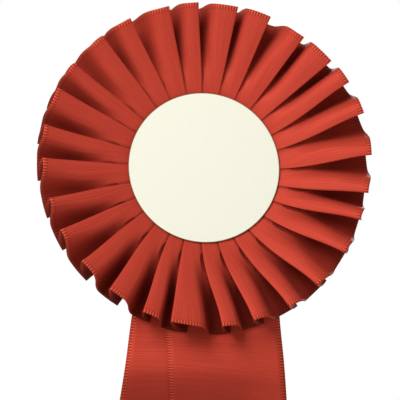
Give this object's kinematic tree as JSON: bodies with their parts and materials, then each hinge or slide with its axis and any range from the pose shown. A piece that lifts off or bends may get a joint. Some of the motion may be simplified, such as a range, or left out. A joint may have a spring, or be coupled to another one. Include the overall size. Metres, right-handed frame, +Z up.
{
  "type": "award rosette",
  "caption": "Award rosette with a knife-pleated satin ribbon ring round a plain flat disc, ribbon tails and a locking bar pin on its back.",
  "frame": {"origin": "on the axis of the bar pin's stem, midway along the bar pin, which is also the rosette's middle from left to right", "axes": "+X along the stem to its point, which is the rosette's right as seen from the front; the rosette faces -Y; +Z up, against the hang of the tails"},
  "size_m": [0.145, 0.0271, 0.3506],
  "materials": {
    "ribbon_satin": "woven satin with narrow ribbed selvedges",
    "face_paper": "matte cream paper",
    "grey_board": "raw board edge",
    "hot_glue": "cloudy set glue",
    "red_thread": "twisted sewing thread",
    "staple_wire": "galvanised wire",
    "white_card": "matte white card",
    "foam_tape": "closed-cell foam tape",
    "nickel_steel": "nickel-plated pressed steel",
    "spring_wire": "polished spring wire"
  },
  "bodies": {
    "rosette": {"centre_face": "face_paper", "centre_board": "grey_board", "centre_glue": "hot_glue", "ruffle": "ribbon_satin", "header_stitches": "red_thread", "join_staple": "staple_wire", "ruffle_base": "white_card", "tail_front_header": "ribbon_satin", "tail_rear_header": "ribbon_satin", "tail_staples": "staple_wire", "rear_glue": "hot_glue", "backing_disc": "white_card", "pin_pad": "foam_tape", "pin_base": "nickel_steel", "pin_rivet": "nickel_steel", "catch_housing": "nickel_steel"},
    "tail_front": {"tail_front_drop": "ribbon_satin"},
    "tail_rear": {"tail_rear_drop": "ribbon_satin"},
    "pin_stem": {"pin_stem": "spring_wire"},
    "safety_catch": {"safety_catch": "nickel_steel"}
  },
  "joints": [
    {"name": "tail_front_swing", "type": "hinge", "parent": "rosette", "child": "tail_front", "pos_m": [0.009, -0.00683, -0.086], "axis": [-1, 0, 0], "range_deg": [0, 80]},
    {"name": "tail_rear_swing", "type": "hinge", "parent": "rosette", "child": "tail_rear", "pos_m": [-0.0066, -0.00617, -0.086], "axis": [1, 0, 0], "range_deg": [0, 80]},
    {"name": "pin_swing", "type": "hinge", "parent": "rosette", "child": "pin_stem", "pos_m": [-0.016, 0, 0], "axis": [0, 0, 1], "range_deg": [0, 100]},
    {"name": "catch_turn", "type": "hinge", "parent": "rosette", "child": "safety_catch", "pos_m": [0.0144, 0, 0], "axis": [1, 0, 0], "range_deg": [0, 110]}
  ]
}
